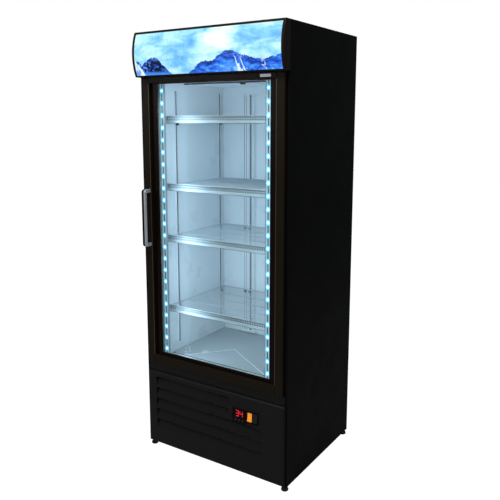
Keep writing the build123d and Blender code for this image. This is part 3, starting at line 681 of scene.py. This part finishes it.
seal = coated("seal", (0.012, 0.012, 0.012), (0.02, 0.02, 0.02), 0.55, 0.0008, 0.00004, level=0.3)
coil_metal = metal("coil_metal", (0.66, 0.67, 0.68), 0.35, 0.002, 0.00002, stretch=(0.2, 1, 1))
fan_grey = coated("fan_grey", (0.05, 0.052, 0.055), (0.12, 0.12, 0.12), 0.45, 0.001, 0.00004,
                  dusty=0.3)
white_plastic = coated("white_plastic", (0.78, 0.84, 0.88), (0.8, 0.84, 0.86), 0.4, 0.001, 0.00003)
soften("evaporator_cover", white_plastic, 0.0004, 1)
low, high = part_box("evaporator_cover")
latch_half = 0.012
edging = block((low.x, low.y - 0.002, low.z - 0.0015), (high.x, low.y + 0.0005, low.z + 0.006),
               0.0008)
latch = block((-latch_half, low.y - 0.006, low.z - 0.009),
              (latch_half, low.y + 0.004, low.z + 0.004), 0.0015)
settle(joined(edging, latch), "cover_edging", seal, "cabinet")
soften("evaporator_coil", coil_metal, 0.0006, 1)
soften("evaporator_fan_motor", fan_grey, 0.001)
soften("evaporator_fan", fan_grey, 0.0004, 1)

# ------------------------------------------------------------------ machine room
# A hermetic compressor on rubber grommets, a finned condenser with its fan in a shroud, and a tray
# that catches and evaporates the thaw water.

soften("compressor", enamel_black, 0.0015, 3)
# The condenser coil takes the black enamel as painted shade, which keeps the louvres' slits dark.
soften("condenser_coil", enamel_black, 0.0006, 1)
soften("condenser_fan_motor", galvanised, 0.0005, 1)
soften("condenser_fan", fan_grey, 0.0004, 1)
soften("drain_pan", black_plastic, 0.001)

# ------------------------------------------------------------------ kick panel and controls
# A pressed steel cover with five louvres clips over the machine room. A digital thermostat and a
# switch plate with two rockers snap into its cut-outs.

soften("kick_panel", front_lit_black, 0.0006, 2)
soften("controller", black_plastic, 0.0004)
soften("switch_bezel", black_plastic, 0.0006)
button_grey = coated("button_grey", (0.03, 0.03, 0.032), (0.08, 0.08, 0.08), 0.4, 0.0006, 0.00004)
for name in ("set_button", "down_button", "up_button"):
    soften(name, button_grey, 0.0003)

orange_lens, tree, shader = shade("orange_lens", Roughness=0.25, Emission_Strength=0.55)
at = node(tree, "TexCoord").outputs["Object"]
cloudy = node(tree, "TexNoise", {"Vector": at, "Scale": 120.0, "Detail": 2.0}).outputs[0]
lit = blended(tree, cloudy, (0.9, 0.2, 0.01, 1), (1.0, 0.42, 0.03, 1))
tree.links.new(lit, shader.inputs["Base Color"])
tree.links.new(lit, shader.inputs["Emission Color"])
grey_lens = coated("grey_lens", (0.012, 0.013, 0.017), (0.04, 0.04, 0.05), 0.35, 0.001, 0.00002,
                   level=0.3)
soften("power_rocker", orange_lens, 0.0008, 3)
soften("light_rocker", grey_lens, 0.0008, 3)

# Red seven-segment figures behind the thermostat's window.
digit_red, tree, shader = shade("digit_red", "orange_lens", Roughness=0.3, Emission_Strength=1.6)
at = node(tree, "TexCoord").outputs["Object"]
cells = node(tree, "TexNoise", {"Vector": at, "Scale": 900.0}).outputs[0]
red = blended(tree, cells, (0.8, 0.0, 0.01, 1), (1.0, 0.02, 0.03, 1))
tree.links.new(red, shader.inputs["Base Color"])
tree.links.new(red, shader.inputs["Emission Color"])

controller_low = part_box("controller")[0]
window_face = controller_low.y + 0.0008
digits_middle = controller_low.z + 0.0415
digit_width, digit_height, stroke = 0.0135, 0.026, 0.0018
# Each segment's place across and up, and whether it stands upright.
segments = {"top": (0, 1, 0), "middle": (0, 0, 0), "bottom": (0, -1, 0), "upper_left": (-1, 0.5, 1),
            "upper_right": (1, 0.5, 1), "lower_left": (-1, -0.5, 1), "lower_right": (1, -0.5, 1)}
shown_digits = ((0.1415, ("top", "upper_right", "middle", "lower_right", "bottom")),
                (0.1625, ("upper_left", "upper_right", "middle", "lower_right")))
digit_pieces = []
for middle, lit_segments in shown_digits:
    for name in lit_segments:
        across, up, upright = segments[name]
        half = ((stroke if upright else digit_width - stroke * 0.6) / 2,
                (digit_height / 2 - stroke * 0.5 if upright else stroke) / 2)
        x = middle + across * digit_width / 2
        z = digits_middle + up * digit_height / 2
        digit_pieces.append(block((x - half[0], window_face - 0.0003, z - half[1]),
                                  (x + half[0], window_face + 0.0003, z + half[1]), 0.0002, 1))
settle(joined(*digit_pieces), "display_figures", digit_red, "cabinet")

# ------------------------------------------------------------------ header
# A curved frame of folded steel holds a backlit acrylic panel, printed with a mountain scene. Two
# bars of diodes light it from behind.

bronze_frame = coated("bronze_frame", (0.0165, 0.011, 0.006), (0.06, 0.042, 0.024), 0.38, 0.0012,
                      0.00003, level=0.1)
soften("header_frame", bronze_frame, 0.0012, 3)
soften("header_housing", galvanised, 0.0005, 1)
soften("header_light_bars", white_plastic, 0.0006, 1)

lit_panel, tree, shader = shade("lit_panel", Roughness=0.25, Emission_Strength=0.92,
                                Specular_IOR_Level=0.3)
low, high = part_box("header_panel")
width_to_height = 4.1
at = node(tree, "SeparateXYZ", {0: node(tree, "TexCoord").outputs["Object"]}).outputs
across = figure(tree, "DIVIDE", figure(tree, "SUBTRACT", at["X"], low.x), high.x - low.x)
up = figure(tree, "DIVIDE", figure(tree, "SUBTRACT", at["Z"], low.z), high.z - low.z)
on_print = node(tree, "CombineXYZ", {0: figure(tree, "MULTIPLY", across, width_to_height),
                                     1: up}).outputs[0]


def streaks(scale, detail, roughness, stretch=(1, 1, 1), distortion=0.0):
    """Noise over the print."""
    placed = node(tree, "Mapping", {"Vector": on_print, "Scale": stretch}).outputs[0]
    return node(tree, "TexNoise", {"Vector": placed, "Scale": scale, "Detail": detail,
                                   "Roughness": roughness, "Distortion": distortion}).outputs[0]


def ramp(value, *stops):
    """A colour ramp through stops of place and colour."""
    made = node(tree, "ValToRGB", {0: value})
    made.color_ramp.elements[0].position, made.color_ramp.elements[0].color = stops[0]
    made.color_ramp.elements[1].position, made.color_ramp.elements[1].color = stops[-1]
    for place, colour in stops[1:-1]:
        made.color_ramp.elements.new(place).color = colour
    return made.outputs[0]


def ridge(*points):
    """The height of a ridge line over the width of the print."""
    made = node(tree, "FloatCurve", {"Value": across})
    curve = made.mapping.curves[0]
    curve.points[0].location, curve.points[1].location = points[0], points[-1]
    for place in points[1:-1]:
        curve.points.new(*place)
    for point in curve.points:
        point.handle_type = "VECTOR"
    made.mapping.update()
    return made.outputs[0]


def patch(place, reach):
    """1 at a place on the print, fading to 0 at its reach."""
    gap = node(tree, "VectorMath", {0: on_print, 1: (*place, 0)}, operation="SUBTRACT").outputs[0]
    fitted = node(tree, "VectorMath", {0: gap, 1: (1 / reach[0], 1 / reach[1], 1)},
                  operation="MULTIPLY").outputs[0]
    far = node(tree, "VectorMath", {0: fitted}, operation="LENGTH").outputs["Value"]
    return node(tree, "MapRange", {"Value": far, "From Min": 0.2, "From Max": 1.0,
                                   "To Min": 1.0, "To Max": 0.0},
                interpolation_type="SMOOTHSTEP").outputs[0]


# The sky: slanting wisps, brighter and darker in places.
wisps = node(tree, "Mapping", {"Vector": on_print, "Rotation": (0, 0, math.radians(24)),
                               "Scale": (0.75, 2.1, 1)}).outputs[0]
wisp = node(tree, "TexNoise", {"Vector": wisps, "Scale": 1.5, "Detail": 5.0, "Roughness": 0.58,
                               "Distortion": 0.35}).outputs[0]
clouds = figure(tree, "ADD", figure(tree, "MULTIPLY", wisp, 0.8),
                figure(tree, "MULTIPLY", streaks(6.0, 4, 0.6), 0.2))
bright_and_dark = (((2.5, 0.78), (0.75, 0.55), 0.13), ((1.55, 0.62), (0.75, 0.35), -0.09),
                   ((4.05, 0.85), (0.4, 0.35), -0.1), ((0.65, 0.85), (0.4, 0.2), -0.08),
                   ((2.1, 0.2), (0.6, 0.3), 0.05))
for place, reach, gain in bright_and_dark:
    clouds = figure(tree, "ADD", clouds, figure(tree, "MULTIPLY", patch(place, reach), gain))
heavens = ramp(clouds, (0.3, (0.07, 0.33, 0.78, 1)), (0.42, (0.2, 0.58, 0.92, 1)),
               (0.52, (0.42, 0.82, 0.97, 1)), (0.62, (0.72, 0.97, 1.0, 1)), (0.72, (0.98, 1.0, 1.0, 1)))

# The mountains: a main range at the right, and a darker crag at the left.
outline_sharpness = 60.0
jagged = figure(tree, "MULTIPLY", figure(tree, "SUBTRACT", streaks(11, 7, 0.7), 0.5), 0.17)
main_ridge = figure(tree, "ADD", ridge(
    (0, 0), (0.385, 0), (0.43, 0.1), (0.475, 0.24), (0.52, 0.27), (0.565, 0.25), (0.6, 0.36),
    (0.655, 0.47), (0.7, 0.46), (0.74, 0.38), (0.79, 0.32), (0.85, 0.26), (0.9, 0.23), (0.95, 0.28),
    (1, 0.32)), jagged)
in_main = figure(tree, "MULTIPLY", figure(tree, "SUBTRACT", main_ridge, up), outline_sharpness,
                 clamp=True)
small_ridge = figure(tree, "ADD", ridge(
    (0, 0.36), (0.03, 0.34), (0.055, 0.24), (0.085, 0.34), (0.13, 0.42), (0.17, 0.41), (0.21, 0.25),
    (0.255, 0.06), (0.275, 0), (1, 0)), figure(tree, "MULTIPLY", jagged, 0.6))
in_small = figure(tree, "MULTIPLY", figure(tree, "SUBTRACT", small_ridge, up), outline_sharpness,
                  clamp=True)
slanting = node(tree, "Mapping", {"Vector": on_print, "Rotation": (0, 0, math.radians(-52)),
                                  "Scale": (1, 2.4, 1)}).outputs[0]
rocks = node(tree, "TexNoise", {"Vector": slanting, "Scale": 4.2, "Detail": 7.0, "Roughness": 0.66,
                                "Distortion": 0.5}).outputs[0]
depth = figure(tree, "SUBTRACT", main_ridge, up)
shadowed = figure(tree, "ADD", rocks,
                  figure(tree, "MULTIPLY", figure(tree, "SUBTRACT", depth, 0.16), 0.5))
slopes = ramp(shadowed, (0.37, (0.006, 0.03, 0.26, 1)), (0.46, (0.012, 0.09, 0.62, 1)),
              (0.54, (0.03, 0.2, 0.9, 1)), (0.64, (0.09, 0.36, 0.95, 1)), (0.78, (0.4, 0.74, 0.98, 1)))
crag_noise = figure(tree, "ADD", streaks(10, 6, 0.65, (1, 1.3, 1), 0.6),
                    figure(tree, "MULTIPLY", patch((0.7, 0.16), (0.42, 0.26)), -0.1))
crags = ramp(crag_noise, (0.44, (0.001, 0.003, 0.03, 1)), (0.49, (0.008, 0.06, 0.42, 1)),
             (0.56, (0.04, 0.22, 0.85, 1)), (0.68, (0.4, 0.72, 1.0, 1)))
foothill = figure(tree, "MULTIPLY", figure(tree, "SUBTRACT", 0.09, up), 14.0, clamp=True)
crags = blended(tree, foothill, crags, (0.06, 0.28, 0.9, 1))

# The snow: streaks down the gullies, and a snowfield with drifts at the lower left.
leaning = figure(tree, "ADD", across, figure(tree, "MULTIPLY", up, 0.1))
gully = streaks(5, 6, 0.7, (1.5, 1.4, 1), 0.5)
snow = None
for place, width in ((0.742, 0.011), (0.775, 0.006), (0.9, 0.003)):
    wander = figure(tree, "MULTIPLY", figure(tree, "SUBTRACT", gully, 0.5), 0.09)
    beside = figure(tree, "ABSOLUTE",
                    figure(tree, "SUBTRACT", figure(tree, "ADD", leaning, wander), place))
    tapered = figure(tree, "MULTIPLY", figure(tree, "SUBTRACT", 0.42, up), 3.2 * width)
    streak = figure(tree, "MULTIPLY", figure(tree, "SUBTRACT", tapered, beside), 400.0, clamp=True)
    snow = streak if snow is None else figure(tree, "MAXIMUM", snow, streak)
slopes = blended(tree, snow, slopes, (0.75, 0.94, 1.0, 1))
picture = blended(tree, in_main, heavens, slopes)
picture = blended(tree, in_small, picture, crags)
slope = figure(tree, "MULTIPLY", across, 5.2)
slide = figure(tree, "SUBTRACT", figure(tree, "SUBTRACT", 0.4, slope), up)
snowfield = figure(tree, "MULTIPLY", figure(tree, "ADD", slide, jagged), 30.0, clamp=True)
drifts = ramp(streaks(4, 5, 0.6, (2.0, 0.8, 1), 0.4), (0.42, (0.1, 0.35, 0.9, 1)),
              (0.5, (0.7, 0.93, 1.0, 1)), (0.56, (1, 1, 1, 1)))
picture = blended(tree, snowfield, picture, drifts)
tree.links.new(picture, shader.inputs["Emission Color"])
tree.links.new(blended(tree, 0.7, picture, (0.02, 0.02, 0.02, 1)), shader.inputs["Base Color"])
soften("header_panel", lit_panel, 0.0004, 1)

# ------------------------------------------------------------------ door
# Extruded aluminium stiles and rails, coated dark bronze, grip a sealed double glass unit with a
# black printed border. Upright strips of lighter bronze along the stiles' inner edges are a painted
# highlight.
# The bridge handle on the left stile is bronze, with a silver facing on its inner side.

for name in ("left_stile", "right_stile", "top_rail", "bottom_rail"):
    soften(name, bronze_frame, 0.001, 3)

printed_border = coated("printed_border", (0.007, 0.0038, 0.002), (0.03, 0.02, 0.012), 0.3, 0.0012,
                        0.00001, level=0.1, slot="black_plastic")
soften("glass_bezel", printed_border, 0.0004, 1)
# A lighter copy of the bronze, for a painted highlight on the stiles' inner edges.
highlight_bronze = coated("highlight_bronze", (0.07, 0.052, 0.034), (0.12, 0.09, 0.06), 0.3, 0.0012, 0.00002,
                     slot="bronze_frame")
door_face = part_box("left_stile")[0].y
highlight_foot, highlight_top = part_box("bottom_rail")[1].z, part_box("top_rail")[0].z
highlight_half = 0.0016
highlight_strips = [block((x - highlight_half, door_face - 0.0008, highlight_foot),
               (x + highlight_half, door_face + 0.0012, highlight_top), 0.0005)
         for x in (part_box("left_stile")[1].x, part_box("right_stile")[0].x)]
settle(joined(*highlight_strips), "stile_highlight_strips", highlight_bronze, "door")

pane, tree, shader = shade("pane", Transmission_Weight=1.0, Roughness=0.0, IOR=1.12)
tint = node(tree, "TexNoise", {"Vector": node(tree, "TexCoord").outputs["Object"], "Scale": 1.2})
tree.links.new(blended(tree, tint.outputs[0], (0.93, 0.98, 1, 1), (0.96, 1, 1, 1)),
               shader.inputs["Base Color"])
clear = node(tree, "BsdfTransparent", {"Color": (0.97, 1, 1, 1)})
for_shadow = node(tree, "LightPath").outputs["Is Shadow Ray"]
through = node(tree, "MixShader", {0: for_shadow, 1: shader.outputs[0], 2: clear.outputs[0]})
tree.links.new(through.outputs[0], tree.nodes["Material Output"].inputs["Surface"])
soften("glass_panes", pane, 0.0004, 1)

silver = metal("silver", (0.72, 0.73, 0.75), 0.36, 0.0006, 0.00001, dusty=0.0, stretch=(1, 1, 0.05),
               metallic=0.35)
soften("glass_spacer", silver, 0.0003, 1)
soften("door_gasket", seal, 0.002, 3)
facing_width = 0.007
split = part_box("handle")[1].x - facing_width
handle_pieces = (("handle_body", bronze_frame, False), ("handle_facing", silver, True))
for name, finish, keep_right in handle_pieces:
    piece = merged_copy("handle", name)
    bpy.ops.object.mode_set(mode="EDIT")
    bpy.ops.mesh.select_all(action="SELECT")
    bpy.ops.mesh.bisect(plane_co=(split, 0, 0), plane_no=(1, 0, 0), use_fill=True,
                        clear_inner=keep_right, clear_outer=not keep_right)
    bpy.ops.object.mode_set(mode="OBJECT")
    rounding(piece, 0.0012, 2)
    settle(piece, name, finish, "door", *(() if keep_right else ("handle",)))
soften("badge_plate", silver, 0.0006, 3)

# ------------------------------------------------------------------ inlet and screws
# A moulded plastic inlet for the mains cord snaps into the rear cover. Plated steel screws hold
# the cover to the base tray.

steel = metal("steel", (0.6, 0.6, 0.62), 0.3, 0.0008, 0.00001, stretch=(1, 1, 0.08))
soften("cord_inlet", black_plastic, 0.0006)
soften("panel_screws", steel, 0.0005)
